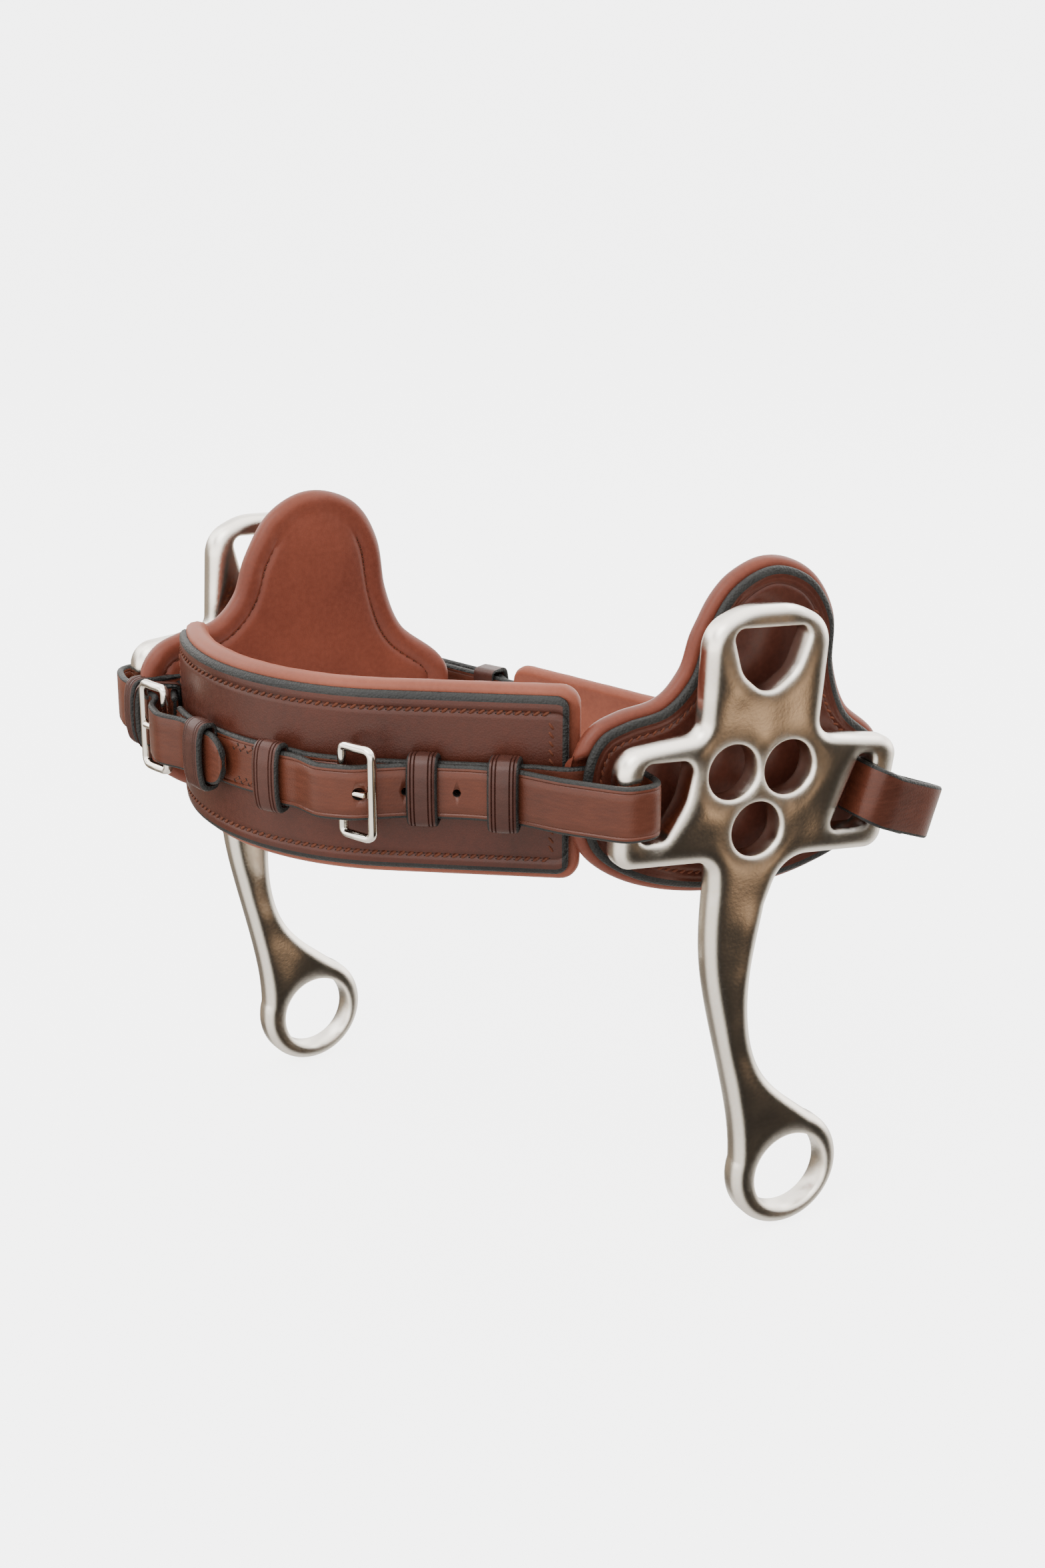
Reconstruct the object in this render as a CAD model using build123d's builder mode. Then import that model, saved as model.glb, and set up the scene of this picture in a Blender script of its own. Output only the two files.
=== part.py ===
from build123d import *
import os
from math import cos, radians, sin

os.makedirs("parts", exist_ok=True)

# Leather hackamore: a padded noseband and a padded curb strap, joined on each side of the
# horse's head by a cast metal cheek with a leather cheek guard behind it.
# +X is the horse's left, +Y its rear, +Z up. The origin is on the noseband's lining,
# where the nose bears on it.

# ---- driving dimensions, in millimetres ----
STRAP_W = 17.5              # width of every strap
STRAP_T = 2.4               # thickness of one strap layer
STRAP_Z = 2.5               # height of the noseband strap's middle line
GAP = 0.3                   # clearance between neighbours

# noseband in plan: a straight run from the left end, then one arc round the nose
NOSE_END = (66.4, -12.9)    # left end of the sewn plane between leather and lining
NOSE_HEADING = 232.8        # direction of the straight run
NOSE_STRAIGHT = 55.6
NOSE_R = 78.5
NOSE_Z = 3.0
LEATHER_T = 3.0
LEATHER_H = 57.0
LEATHER_SPAN = (-1.0, 163.0) # stations along the noseband, from its left end
LINING_T = 8.0
LINING_H = 62.0
LINING_SPAN = (-3.0, 165.0)
SEAT = (6.3, -68.6)         # the origin, in the layout's own plan

# layers on the noseband, as distances outward of its sewn plane
BASE_OUT = 5.9              # base strap's middle
BILLET_OUT = 8.6            # buckled strap's middle, where it lies on the base strap
HINGE_OUT = 10.1            # buckle hinge bars

# cheeks
CHEEK_T = 9.0               # thickness of the casting
CHEEK_ROUND = 2.9           # its edge radius
SLOT_ROUND, HOLE_ROUND, RING_ROUND = 1.2, 0.8, 0.9   # inner edges of slots, holes and ring
LEFT_POS = (93.3, 37.2)     # middle of the three holes, left cheek
RIGHT_POS = (-92.8, -42.9)
CHEEK_Z = 2.2
TOE = 3.3                   # the cheeks open towards the rear by this angle each
LEVER_LEAN = 3.6            # the levers lean forward below the strap
HOLE_R = 8.8
HOLE_PITCH = 19.7
RING_AT = (25.0, -132.4)    # rein ring's bore, from the middle of the three holes
RING_R = 13.4
RING_BOSS_AT = (23.5, -131.2)
RING_BOSS_R = 19.6

# cheek guards, measured inward from the casting's middle plane
GUARD_FACE = 11.0
GUARD_T = 2.5
GUARD_LINING_T = 6.5
GUARD_MARGIN = 2.0          # lining beyond the leather all round
SLIT = (-44.5, -31.0)       # slit for the noseband strap, along the plate
SLIT_H = 22.5

# curb strap: a straight band behind the jaw, hanging lower than the noseband
CURB_LEFT = (89.5, 105.0)   # corners of the base strap in plan
CURB_RIGHT = (-89.3, 25.0)
CURB_Z = -15.5
CURB_DROOP = 28.0           # slope of the strap ends that hang from the rear slots
CURB_PAD_HALF = 56.0
CURB_LEATHER_H = 33.0
CURB_LINING_H = 38.0
CURB_LEATHER_T = 2.5
CURB_LINING_T = 6.5

# buckles and keepers
BAR_R = 1.5
FRAME_L = 12.0              # hinge bar to front bar
FRAME_CLEAR_H = 25.0
FRAME_TILT = 24.0           # the frame leans out from the strap
KEEPER_W = 8.5
KEEPER_T = 1.1
KEEPER_CLEAR_H = 19.5
CHAPE_T = 0.9
CHAPE_TAIL = 10.0
HOLE_PUNCH_R = 1.2
TONGUE_HOLE = (11.5, 4.6)    # along and across the strap


def shift(x, y):
    """Move a layout plan point into the part's frame."""
    return Vector(x - SEAT[0], y - SEAT[1], 0)


def nose_frame(station):
    """Plan point, direction and outward normal at a station along the noseband."""
    start = radians(NOSE_HEADING)
    run = min(station, NOSE_STRAIGHT)
    now = start - max(0.0, station - NOSE_STRAIGHT) / NOSE_R
    x = NOSE_END[0] + run * cos(start) + NOSE_R * (sin(start) - sin(now))
    y = NOSE_END[1] + run * sin(start) + NOSE_R * (cos(now) - cos(start))
    return shift(x, y), Vector(cos(now), sin(now), 0), Vector(-sin(now), cos(now), 0)


def nose(station, out):
    """Plan point at a station along the noseband and a distance outward."""
    at, _, normal = nose_frame(station)
    return at + normal * out


def curb_frame(station):
    """Plan point, direction and rearward normal along the curb strap, from its middle."""
    left, right = shift(*CURB_LEFT), shift(*CURB_RIGHT)
    along = (right - left).normalized()
    return (left + right) * 0.5 + along * station, along, Vector(along.Y, -along.X, 0)


def curb(station, out):
    """Plan point at a station along the curb strap and a distance rearward."""
    at, _, normal = curb_frame(station)
    return at + normal * out


def cheek(side, along, out):
    """Plan point beside a cheek: along its plate rearward, and out from its middle."""
    toe = radians(TOE)
    home = LEFT_POS if side > 0 else RIGHT_POS
    x = home[0] + side * (along * sin(toe) + out * cos(toe))
    y = home[1] + along * cos(toe) - out * sin(toe)
    return shift(x, y)


def cheek_plane(side, lean=0.0):
    """Middle plane of a cheek, x rearward and y up, facing the horse's left."""
    toe, tip = radians(TOE), radians(lean)
    at = cheek(side, 0, 0)
    rear = (side * sin(toe) * cos(tip), cos(toe) * cos(tip), -sin(tip))
    return Plane(origin=(at.X, at.Y, CHEEK_Z), x_dir=rear, z_dir=(cos(toe), -side * sin(toe), 0))


def nose_line(first, last, out):
    """Edges along the noseband between two stations, for the open BuildLine."""
    bend = max(first, NOSE_STRAIGHT)
    if first < NOSE_STRAIGHT:
        Line(nose(first, out), nose(bend, out))
    ThreePointArc(nose(bend, out), nose((bend + last) / 2, out), nose(last, out))


def write(piece, name):
    piece.part.label = name
    export_step(piece.part, f"parts/{name}.step")


def upright(points, radius, thick, z, height):
    """Upright strap along a filleted plan path, centred on height z."""
    with BuildPart() as strap:
        with BuildSketch(Plane.XY.offset(z - height / 2)):
            with BuildLine():
                FilletPolyline(*points, radius=radius)
            trace(line_width=thick)
        extrude(amount=height)
    return strap


# ---- noseband: leather face, padded lining and the strap sewn to it ----
for name, span, out, thick, height in (
    ("noseband_leather", LEATHER_SPAN, LEATHER_T / 2, LEATHER_T, LEATHER_H),
    ("noseband_lining", LINING_SPAN, -0.1 - LINING_T / 2, LINING_T, LINING_H),
):
    with BuildPart() as band:
        with BuildSketch(Plane.XY.offset(NOSE_Z - height / 2)):
            with BuildLine():
                nose_line(*span, out)
            trace(line_width=thick)
        extrude(amount=height)
    write(band, name)

SEWN = (84.0, 123.0)        # stations between which the base strap lies on the leather
SEWN_OUT = LEATHER_T + GAP / 3 + STRAP_T / 2
with BuildPart() as base_strap:
    with BuildSketch(Plane.XY.offset(STRAP_Z - STRAP_W / 2)):
        with BuildLine():
            Line(cheek(1, -56.0, -17.2), nose(6, BASE_OUT))
            Line(nose(6, BASE_OUT), nose(NOSE_STRAIGHT, BASE_OUT))
            ThreePointArc(nose(NOSE_STRAIGHT, BASE_OUT), nose(66, BASE_OUT), nose(78, BASE_OUT))
            Line(nose(78, BASE_OUT), nose(SEWN[0], SEWN_OUT))
            ThreePointArc(nose(SEWN[0], SEWN_OUT), nose(sum(SEWN) / 2, SEWN_OUT),
                          nose(SEWN[1], SEWN_OUT))
            Line(nose(SEWN[1], SEWN_OUT), nose(129, BASE_OUT))
            ThreePointArc(nose(129, BASE_OUT), nose(145, BASE_OUT), nose(160, BASE_OUT))
            Line(nose(160, BASE_OUT), cheek(-1, -41.4, -22.3))
        trace(line_width=STRAP_T)
    extrude(amount=STRAP_W)
write(base_strap, "nose_base_strap")


def frame_plane(at, z, x_dir, z_dir):
    return Plane(origin=(at.X, at.Y, z), x_dir=tuple(x_dir), z_dir=tuple(z_dir))


# ---- buckles: each is a frame, a tongue on its hinge bar and the chape that holds it ----
def buckle(prefix, at, direction, normal, z):
    """Buckle at a hinge point; direction runs to the front bar, normal away from the strap."""
    tilt = radians(FRAME_TILT)
    reach = direction * cos(tilt) + normal * sin(tilt)
    rise = normal * cos(tilt) - direction * sin(tilt)
    with BuildPart() as frame:
        with BuildSketch(frame_plane(at, z, reach, rise)):
            with Locations((FRAME_L / 2 + BAR_R / 2, 0)):
                RectangleRounded(FRAME_L + BAR_R, FRAME_CLEAR_H + 4 * BAR_R, 1.4)
            with Locations(((FRAME_L - BAR_R) / 2, 0)):
                Rectangle(FRAME_L - BAR_R, FRAME_CLEAR_H, mode=Mode.SUBTRACT)
        extrude(amount=BAR_R, both=True)
        with BuildSketch(frame_plane(at, z, reach, (0, 0, 1))):
            Circle(BAR_R)
        extrude(amount=FRAME_CLEAR_H / 2 + BAR_R, both=True)
    write(frame, f"{prefix}_buckle_frame")

    side_of = 1 if direction.cross(normal).Z > 0 else -1
    eye_r = BAR_R + 0.2
    with BuildPart() as tongue:
        with BuildSketch(frame_plane(at, z, reach, (0, 0, 1))):
            Circle(eye_r + 1.0)
            with Locations(((FRAME_L - BAR_R) / 2, 0.6 * side_of)):
                Rectangle(FRAME_L - 2.2 * BAR_R, 2.0)
            Circle(eye_r, mode=Mode.SUBTRACT)
        extrude(amount=1.3, both=True)
    write(tongue, f"{prefix}_buckle_tongue")

    wrap = BAR_R + 0.2 + CHAPE_T / 2
    with BuildPart() as chape:
        with BuildSketch(frame_plane(at, z - STRAP_W / 2, direction, (0, 0, 1))):
            with BuildLine():
                FilletPolyline((-CHAPE_TAIL, -wrap * side_of), (wrap, -wrap * side_of),
                               (wrap, wrap * side_of), (-2.4, wrap * side_of),
                               radius=wrap - 0.05)
            trace(line_width=CHAPE_T)
        extrude(amount=STRAP_W)
        with BuildSketch(frame_plane(at, z, direction, (0, 0, 1))):
            Rectangle(3 * wrap, 4 * wrap)
        extrude(amount=2.0, both=True, mode=Mode.SUBTRACT)
    write(chape, f"{prefix}_buckle_chape")


def keeper(name, at, tangent, normal, z, inner, outer, width=KEEPER_W):
    """Leather loop round a strap stack, clear from inner to outer along the normal."""
    with BuildPart() as loop:
        with BuildSketch(frame_plane(at, z, normal, tangent)):
            with Locations(((inner + outer) / 2, 0)):
                RectangleRounded(outer - inner + 2 * KEEPER_T, KEEPER_CLEAR_H + 2 * KEEPER_T, 1.4)
                Rectangle(outer - inner, KEEPER_CLEAR_H, mode=Mode.SUBTRACT)
        extrude(amount=width / 2, both=True)
    write(loop, name)


def billet(name, points, radius, z, holes, tongue_at):
    """Buckled strap along a plan path, with punched holes along its outward normals."""
    plain = upright(points, radius, STRAP_T, z, STRAP_W)
    with BuildPart() as strap:
        add(plain.part)
        for at, normal in holes:
            with BuildSketch(frame_plane(at, z, (0, 0, 1), normal)):
                Circle(HOLE_PUNCH_R)
            extrude(amount=3 * STRAP_T, both=True, mode=Mode.SUBTRACT)
        at, normal = tongue_at
        with BuildSketch(frame_plane(at, z, (0, 0, 1), normal)):
            RectangleRounded(TONGUE_HOLE[1], TONGUE_HOLE[0], 1.2)
        extrude(amount=3 * STRAP_T, both=True, mode=Mode.SUBTRACT)
    write(strap, name)


# noseband, left and right of the sewn middle
LEFT_HINGE, RIGHT_HINGE = 65.7, 143.0
OVER_HINGE = HINGE_OUT + 4.1
for prefix, hinge, sense in (("left", LEFT_HINGE, -1), ("right", RIGHT_HINGE, 1)):
    _, along, normal = nose_frame(hinge)
    buckle(prefix, nose(hinge, HINGE_OUT), along * sense, normal, STRAP_Z)

billet(
    "left_billet",
    [cheek(1, -63.0, -11.6), nose(13, 11.2), nose(26, BILLET_OUT), nose(47, BILLET_OUT),
     nose(LEFT_HINGE - 3, OVER_HINGE), nose(LEFT_HINGE + 6, OVER_HINGE),
     nose(LEFT_HINGE + 14, BILLET_OUT), nose(92.5, BILLET_OUT)],
    [8, 20, 12, 5, 4, 5], STRAP_Z,
    [(nose(32, BILLET_OUT), nose_frame(32)[2])],
    (nose(LEFT_HINGE - 5.2, OVER_HINGE - 1), nose_frame(LEFT_HINGE - 5.2)[2]),
)
billet(
    "right_billet",
    [cheek(-1, -54.2, -23.2), nose(RIGHT_HINGE + 11.5, OVER_HINGE - 2.9),
     nose(RIGHT_HINGE + 3, OVER_HINGE), nose(RIGHT_HINGE - 6, OVER_HINGE),
     nose(RIGHT_HINGE - 14, BILLET_OUT), nose(118, BILLET_OUT), nose(107, BILLET_OUT)],
    [4, 6, 4, 5, 60], STRAP_Z, [],
    (nose(RIGHT_HINGE + 5.2, OVER_HINGE - 1), nose_frame(RIGHT_HINGE + 5.2)[2]),
)

LOOP_IN, LOOP_OUT = 4.4, 10.2        # clear space of a loop round base strap and billet
SEWN_IN = SEWN_OUT + STRAP_T / 2 + 0.1 + KEEPER_T
for name, station, inner, outer, width in (
    ("left_inner_keeper", 88.5, SEWN_IN, LOOP_OUT, KEEPER_W),
    ("right_inner_keeper", 118.0, SEWN_IN, LOOP_OUT, KEEPER_W),
    ("left_loose_keeper", 42.5, LOOP_IN, LOOP_OUT, KEEPER_W),
    ("left_outer_keeper", 17.5, LOOP_IN, 13.0, KEEPER_W),
    ("right_loose_keeper", 158.0, LOOP_IN, 16.5, 3.0),
):
    at, along, normal = nose_frame(station)
    keeper(name, at, along, normal, STRAP_Z, inner, outer, width)

# ---- cheeks: a slotted head, a curved lever and a rein ring, cast in one piece ----
HEAD = [(-14.0, -32), (-14.6, -22.2), (-48.5, -21.4), (-48.5, 14.6), (-21.0, 18.3),
        (-21.2, 51), (-8.5, 57.0), (8.5, 57.0), (21.2, 51), (20.2, 15.6), (50.5, 12.4),
        (46.8, -23.4), (11.4, -22.7), (6.3, -38)]
HEAD_RADII = [5, 6, 8, 4.5, 11, 20, 20, 11, 6, 6.5, 6, 12]
INNER_SPOTS = [(0, 41, SLOT_ROUND), (-34, -1, SLOT_ROUND), (36, -5, SLOT_ROUND),
               (-HOLE_PITCH / 2, 6.3, HOLE_ROUND), (HOLE_PITCH / 2, 6.3, HOLE_ROUND),
               (0, -12.6, HOLE_ROUND), (*RING_AT, RING_ROUND)]
for side, name in ((1, "left_cheek"), (-1, "right_cheek")):
    with BuildPart() as cast:
        with BuildSketch(cheek_plane(side, LEVER_LEAN)):
            with BuildLine():
                FilletPolyline(*HEAD, radius=HEAD_RADII)
                Spline(HEAD[-1], (3.6, -60), (9.6, -93), (36.0, -116.5),
                       tangents=[(-0.12, -1), (1, -0.75)])
                Line((36.0, -116.5), (4.6, -129))
                Spline((4.6, -129), (1.2, -107), (-11.3, -64), HEAD[0],
                       tangents=[(-0.02, 1), (0.02, 1)])
            make_face()
            with Locations(RING_BOSS_AT):
                Circle(RING_BOSS_R)
        extrude(amount=CHEEK_T / 2, both=True)
        fillet(cast.edges().group_by(Axis((0, 0, 0), cheek_plane(side).z_dir))[0]
               + cast.edges().group_by(Axis((0, 0, 0), cheek_plane(side).z_dir))[-1], CHEEK_ROUND)
        with BuildSketch(cheek_plane(side, LEVER_LEAN)):
            with BuildLine():
                FilletPolyline((-14.2, 50.6), (14.2, 50.6), (9.5, 36.5), (0, 29.0), (-9.5, 36.5),
                               radius=[3, 3, 9, 7, 9], close=True)
            make_face()
            with BuildLine():
                FilletPolyline((-41.0, 11.3), (-23, 11.3), (-25.5, -2), (-32.2, -13.8),
                               (-41.0, -13.8), radius=[3, 4, 14, 3, 3], close=True)
            make_face()
            with BuildLine():
                FilletPolyline((41.5, 8.2), (35.6, 8.2), (26.2, -15.8), (41.5, -15.8),
                               radius=[2.2, 2.2, 2.6, 3], close=True)
            make_face()
            with Locations((-HOLE_PITCH / 2, 6.3), (HOLE_PITCH / 2, 6.3), (0, -12.6)):
                Circle(HOLE_R)
            with Locations(RING_AT):
                Circle(RING_R)
        extrude(amount=CHEEK_T, both=True, mode=Mode.SUBTRACT)
        across = Axis((0, 0, 0), cheek_plane(side).z_dir)
        for cap in (0, -1):
            for spot in INNER_SPOTS:
                wires = cast.faces().sort_by(across)[cap].inner_wires()
                at = cheek_plane(side, LEVER_LEAN).from_local_coords(Vector(*spot[:2], 0))
                rim = min(wires, key=lambda wire: (wire.center() - at).length)
                fillet(rim.edges(), spot[2])
    write(cast, name)

# ---- cheek guards: a bell-shaped leather with a padded lining, slit for the strap ----
GUARD = [(30, -34), (8, -37), (-14, -35), (-34, -28.5), (-48, -18), (-52, -4), (-51, 10),
         (-46, 18.5), (-37, 22), (-24, 24.5), (-15, 33), (-10, 46), (-1, 59), (13, 64.5)]
GUARD_REAR = {1: [(27, 59), (35, 46), (35.5, 30), (41, 15), (53, 4), (56, -8), (48, -26)],
              -1: [(28, 59.5), (36, 47), (39, 29), (45, 13.5), (57.5, 2), (59, -9), (50, -26)]}
GUARD_CENTRE = (3.0, 12.0)


def grown(point, margin):
    """Outline point moved away from the guard's middle by a margin."""
    ray = Vector(point[0] - GUARD_CENTRE[0], point[1] - GUARD_CENTRE[1])
    return (point[0] + margin * ray.X / ray.length, point[1] + margin * ray.Y / ray.length)


for side, prefix in ((1, "left"), (-1, "right")):
    for name, face, thick, margin, notch in (
        ("guard_leather", GUARD_FACE, GUARD_T, 0.0, SLIT),
        ("guard_lining", GUARD_FACE + GUARD_T + 0.1, GUARD_LINING_T, GUARD_MARGIN,
         (-60, SLIT[1])),
    ):
        with BuildPart() as panel:
            with BuildSketch(cheek_plane(side).offset(-side * (face + thick / 2))):
                with BuildLine():
                    Spline(*[grown(p, margin) for p in GUARD + GUARD_REAR[side]], periodic=True)
                make_face()
                with Locations(((notch[0] + notch[1]) / 2, STRAP_Z - CHEEK_Z)):
                    Rectangle(notch[1] - notch[0], SLIT_H, mode=Mode.SUBTRACT)
            extrude(amount=thick / 2, both=True)
        write(panel, f"{prefix}_{name}")

# ---- strap ends folded round the front bars ----
LEFT_FOLD = [(-54.5, -15.4), (-44.5, -15.2), (-35.6, -12), (-35.6, 7.6), (-47.5, 7.6), (-61, -9)]
RIGHT_FOLD = [(-40.8, -20.8), (-37.4, -11), (-37.4, 7.0), (-50.6, 7.0), (-54.2, -6), (-54.2, -20.8)]
for side, prefix, fold, radii in ((1, "left", LEFT_FOLD, [5, 4, 5, 6]),
                                  (-1, "right", RIGHT_FOLD, [6, 5, 5, 8])):
    loop = upright([cheek(side, *p) for p in fold], radii, STRAP_T, STRAP_Z, STRAP_W)
    write(loop, f"{prefix}_front_fold")

OUTER_KEEPER_W = 6.0
at = cheek(-1, 0, -17.4)
toe = radians(TOE)
keeper("right_outer_keeper", at, Vector(cos(toe), sin(toe), 0), Vector(-sin(toe), cos(toe), 0),
       STRAP_Z, -56.2, -37.2, OUTER_KEEPER_W)

# ---- strap ends folded round the rear bars, hanging towards the curb ----
REAR_FOLD = [(17.5, -7.5), (3.6, -8.3), (0, -5.4), (0, 7.0), (10, 7.0), (17.5, 4.6)]
REAR_BAR = 38.7             # where the strap passes the rear slot, along the plate
REAR_Z = -4.2               # its middle height there
slope = radians(CURB_DROOP)
for side, prefix in ((1, "left"), (-1, "right")):
    at = cheek(side, REAR_BAR, 0)
    rear = (side * sin(toe) * cos(slope), cos(toe) * cos(slope), -sin(slope))
    lift = (side * sin(toe) * sin(slope), cos(toe) * sin(slope), cos(slope))
    tall = STRAP_W / cos(slope)
    hang = Plane(origin=(at.X, at.Y, REAR_Z - tall / 2), x_dir=rear, z_dir=lift)
    with BuildPart() as loop:
        with BuildSketch(hang):
            with BuildLine():
                FilletPolyline(*[(p[0] / cos(slope), -side * p[1]) for p in REAR_FOLD],
                               radius=[4, 3.4, 4, 8])
            trace(line_width=STRAP_T)
        extrude(amount=tall, dir=(0, 0, 1))
    write(loop, f"{prefix}_rear_fold")

# ---- curb: padded leather, its strap, and the buckle on the left ----
LAYER = 4.2                 # outer strap layer behind the base strap
for name, out, thick, height, half in (
    ("curb_leather", -(STRAP_T + CURB_LEATHER_T) / 2 - 0.1, CURB_LEATHER_T, CURB_LEATHER_H,
     CURB_PAD_HALF - 3),
    ("curb_lining", -(STRAP_T + CURB_LINING_T) / 2 - CURB_LEATHER_T - 0.2, CURB_LINING_T,
     CURB_LINING_H, CURB_PAD_HALF),
):
    slab = upright([curb(-half, out), curb(0, out + 0.01), curb(half, out)], 500, thick,
                   CURB_Z, height)
    write(slab, name)

corner = (shift(*CURB_LEFT) - shift(*CURB_RIGHT)).length / 2
base = upright([cheek(1, 58.8, -7.5), curb(-corner, 0), curb(corner, 0),
                cheek(-1, 59.5, -7.5)], [3.2, 3.8], STRAP_T, CURB_Z, STRAP_W)
write(base, "curb_base_strap")

CURB_HINGE = -40.0
CURB_STEP = HINGE_OUT - BASE_OUT
_, along, normal = curb_frame(0)
buckle("curb", curb(CURB_HINGE, CURB_STEP), along * -1, normal, CURB_Z)
CREST = OVER_HINGE - BASE_OUT
billet(
    "curb_billet",
    [cheek(1, 58.8, 4.4), curb(-corner - 12.6, LAYER), curb(CURB_HINGE - 14.5, LAYER),
     curb(CURB_HINGE - 3, CREST), curb(CURB_HINGE + 6, CREST), curb(CURB_HINGE + 14, LAYER),
     curb(-10, LAYER)],
    [8, 12, 5, 4, 5], CURB_Z,
    [(curb(-66, LAYER), normal)],
    (curb(CURB_HINGE - 5.2, CREST - 1), normal),
)
tail = upright([cheek(-1, 59.5, 4.4), curb(corner + 10.8, LAYER), curb(66, LAYER)], 4,
               STRAP_T, CURB_Z, STRAP_W)
write(tail, "curb_sewn_tail")
for name, station, inner in (
    ("curb_inner_keeper", -17.0, STRAP_T / 2 + 0.1 + KEEPER_T),
    ("curb_loose_keeper", -72.0, -STRAP_T / 2 - 0.3),
    ("curb_tail_keeper", 74.0, -STRAP_T / 2 - 0.3),
):
    keeper(name, curb(station, 0), along, normal, CURB_Z, inner, LAYER + STRAP_T / 2 + 0.4)
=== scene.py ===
import math
import random

import bpy
import bmesh
import numpy as np
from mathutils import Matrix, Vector


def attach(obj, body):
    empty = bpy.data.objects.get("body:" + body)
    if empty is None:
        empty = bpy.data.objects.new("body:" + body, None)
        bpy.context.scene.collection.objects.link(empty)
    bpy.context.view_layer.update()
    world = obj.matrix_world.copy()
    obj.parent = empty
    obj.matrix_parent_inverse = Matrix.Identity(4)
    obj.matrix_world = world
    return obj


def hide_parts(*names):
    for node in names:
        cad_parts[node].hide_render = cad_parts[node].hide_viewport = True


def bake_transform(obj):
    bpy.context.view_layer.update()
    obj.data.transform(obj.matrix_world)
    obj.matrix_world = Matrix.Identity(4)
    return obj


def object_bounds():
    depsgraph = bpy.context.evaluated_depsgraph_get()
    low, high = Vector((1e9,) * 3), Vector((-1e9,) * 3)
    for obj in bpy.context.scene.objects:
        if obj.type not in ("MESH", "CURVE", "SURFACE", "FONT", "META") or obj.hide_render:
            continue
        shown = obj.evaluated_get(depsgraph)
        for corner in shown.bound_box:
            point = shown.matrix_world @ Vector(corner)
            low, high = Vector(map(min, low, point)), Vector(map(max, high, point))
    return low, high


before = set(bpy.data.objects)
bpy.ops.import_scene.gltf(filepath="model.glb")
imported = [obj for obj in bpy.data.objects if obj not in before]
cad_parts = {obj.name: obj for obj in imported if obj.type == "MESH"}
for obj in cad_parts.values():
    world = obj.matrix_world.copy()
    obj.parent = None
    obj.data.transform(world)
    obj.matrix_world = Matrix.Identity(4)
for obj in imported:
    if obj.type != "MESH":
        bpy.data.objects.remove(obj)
cad_low, cad_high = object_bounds()

# Lengths are in millimetres, in the part's frame, and become metres when a mesh is made.
MM = 0.001
UP = Vector((0, 0, 1))
rng = random.Random(7)

# ---- the object's own layout, as its CAD has it ----
NOSE_START = Vector((60.1, 55.7, 0))      # left end of the noseband's sewn plane
NOSE_HEADING = math.radians(232.8)
NOSE_STRAIGHT = 55.6
NOSE_R = 78.5
NOSE_Z = 3.0
STRAP_Z = 2.5
STRAP_W = 17.5
STRAP_T = 2.4
BASE_OUT = 5.9
BILLET_OUT = 8.6
HINGE_OUT = 10.1
CREST_OUT = HINGE_OUT + 4.1               # buckled strap's middle, where it rides over a hinge bar
BED_OUT = 4.35                            # base strap's middle, where it is sewn to the noseband
LEFT_HINGE, RIGHT_HINGE, CURB_HINGE = 65.7, 143.0, -40.0
TOE = math.radians(3.3)
CHEEK_HOME = {1: Vector((87.0, 105.8, 0)), -1: Vector((-99.1, 25.7, 0))}
CHEEK_Z = 2.2
CURB_LEFT = Vector((83.2, 173.6, 0))
CURB_RIGHT = Vector((-95.6, 93.6, 0))
CURB_Z = -15.0
CURB_TILT = 0.043                         # the curb hangs lower at its left end
REAR_Z = -4.2                             # height of the curb strap where it rounds a rear bar
REAR_BAR = 38.7                           # where the strap ends start to slope, along a cheek
CURB_LAYER = 4.2                          # the curb's outer strap layer, outward of its base strap
CURB_HALF = (CURB_LEFT - CURB_RIGHT).length / 2
DROOP = {1: math.tan(math.radians(29)), -1: math.tan(math.radians(14))}   # slopes of the rear ends
SIDES = {1: "left", -1: "right"}


def nose_frame(station):
    """Plan point, direction and outward normal at a station along the noseband."""
    run = min(station, NOSE_STRAIGHT)
    now = NOSE_HEADING - max(0.0, station - NOSE_STRAIGHT) / NOSE_R
    bend = Vector((math.sin(NOSE_HEADING) - math.sin(now), math.cos(now) - math.cos(NOSE_HEADING), 0))
    at = NOSE_START + Vector((math.cos(NOSE_HEADING), math.sin(NOSE_HEADING), 0)) * run + bend * NOSE_R
    return at, Vector((math.cos(now), math.sin(now), 0)), Vector((-math.sin(now), math.cos(now), 0))


def nose(station, out, z=STRAP_Z):
    """Point at a station along the noseband and a distance outward."""
    at, _, normal = nose_frame(station)
    return at + normal * out + UP * z


CURB_ALONG = (CURB_RIGHT - CURB_LEFT).normalized()
CURB_NORMAL = Vector((CURB_ALONG.y, -CURB_ALONG.x, 0))


def curb(station, out, rise=0.0):
    """Point at a station along the curb, from its middle, and a distance rearward."""
    z = CURB_Z + CURB_TILT * station + rise
    return (CURB_LEFT + CURB_RIGHT) / 2 + CURB_ALONG * station + CURB_NORMAL * out + UP * z


def cheek(side, along, out, z=STRAP_Z):
    """Point beside a cheek: along its plate rearward, and out from its middle."""
    x = side * (along * math.sin(TOE) + out * math.cos(TOE))
    y = along * math.cos(TOE) - out * math.sin(TOE)
    return CHEEK_HOME[side] + Vector((x, y, z))


def hanging(side, along, out):
    """A point on a rear strap end, which slopes down behind its bar."""
    return cheek(side, along, out, REAR_Z - max(0.0, along - REAR_BAR) * DROOP[side])


# ---- mesh helpers ----
def mirrored(half):
    """A section from one border to its middle, carried on to the other border."""
    return half + [(-u, v) for u, v in reversed(half[:-1])]


def eased_rise(d, run):
    """A quarter circle's rise, from 0 at a border to 1 at a run's length from it."""
    return math.sqrt(max(0.0, 1 - (1 - d / run) ** 2))


def corner_cut(d, corner):
    """How much a round corner takes from a sheet's half width, at a distance from its end."""
    return corner - math.sqrt(max(0.0, corner ** 2 - (corner - d) ** 2))


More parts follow.
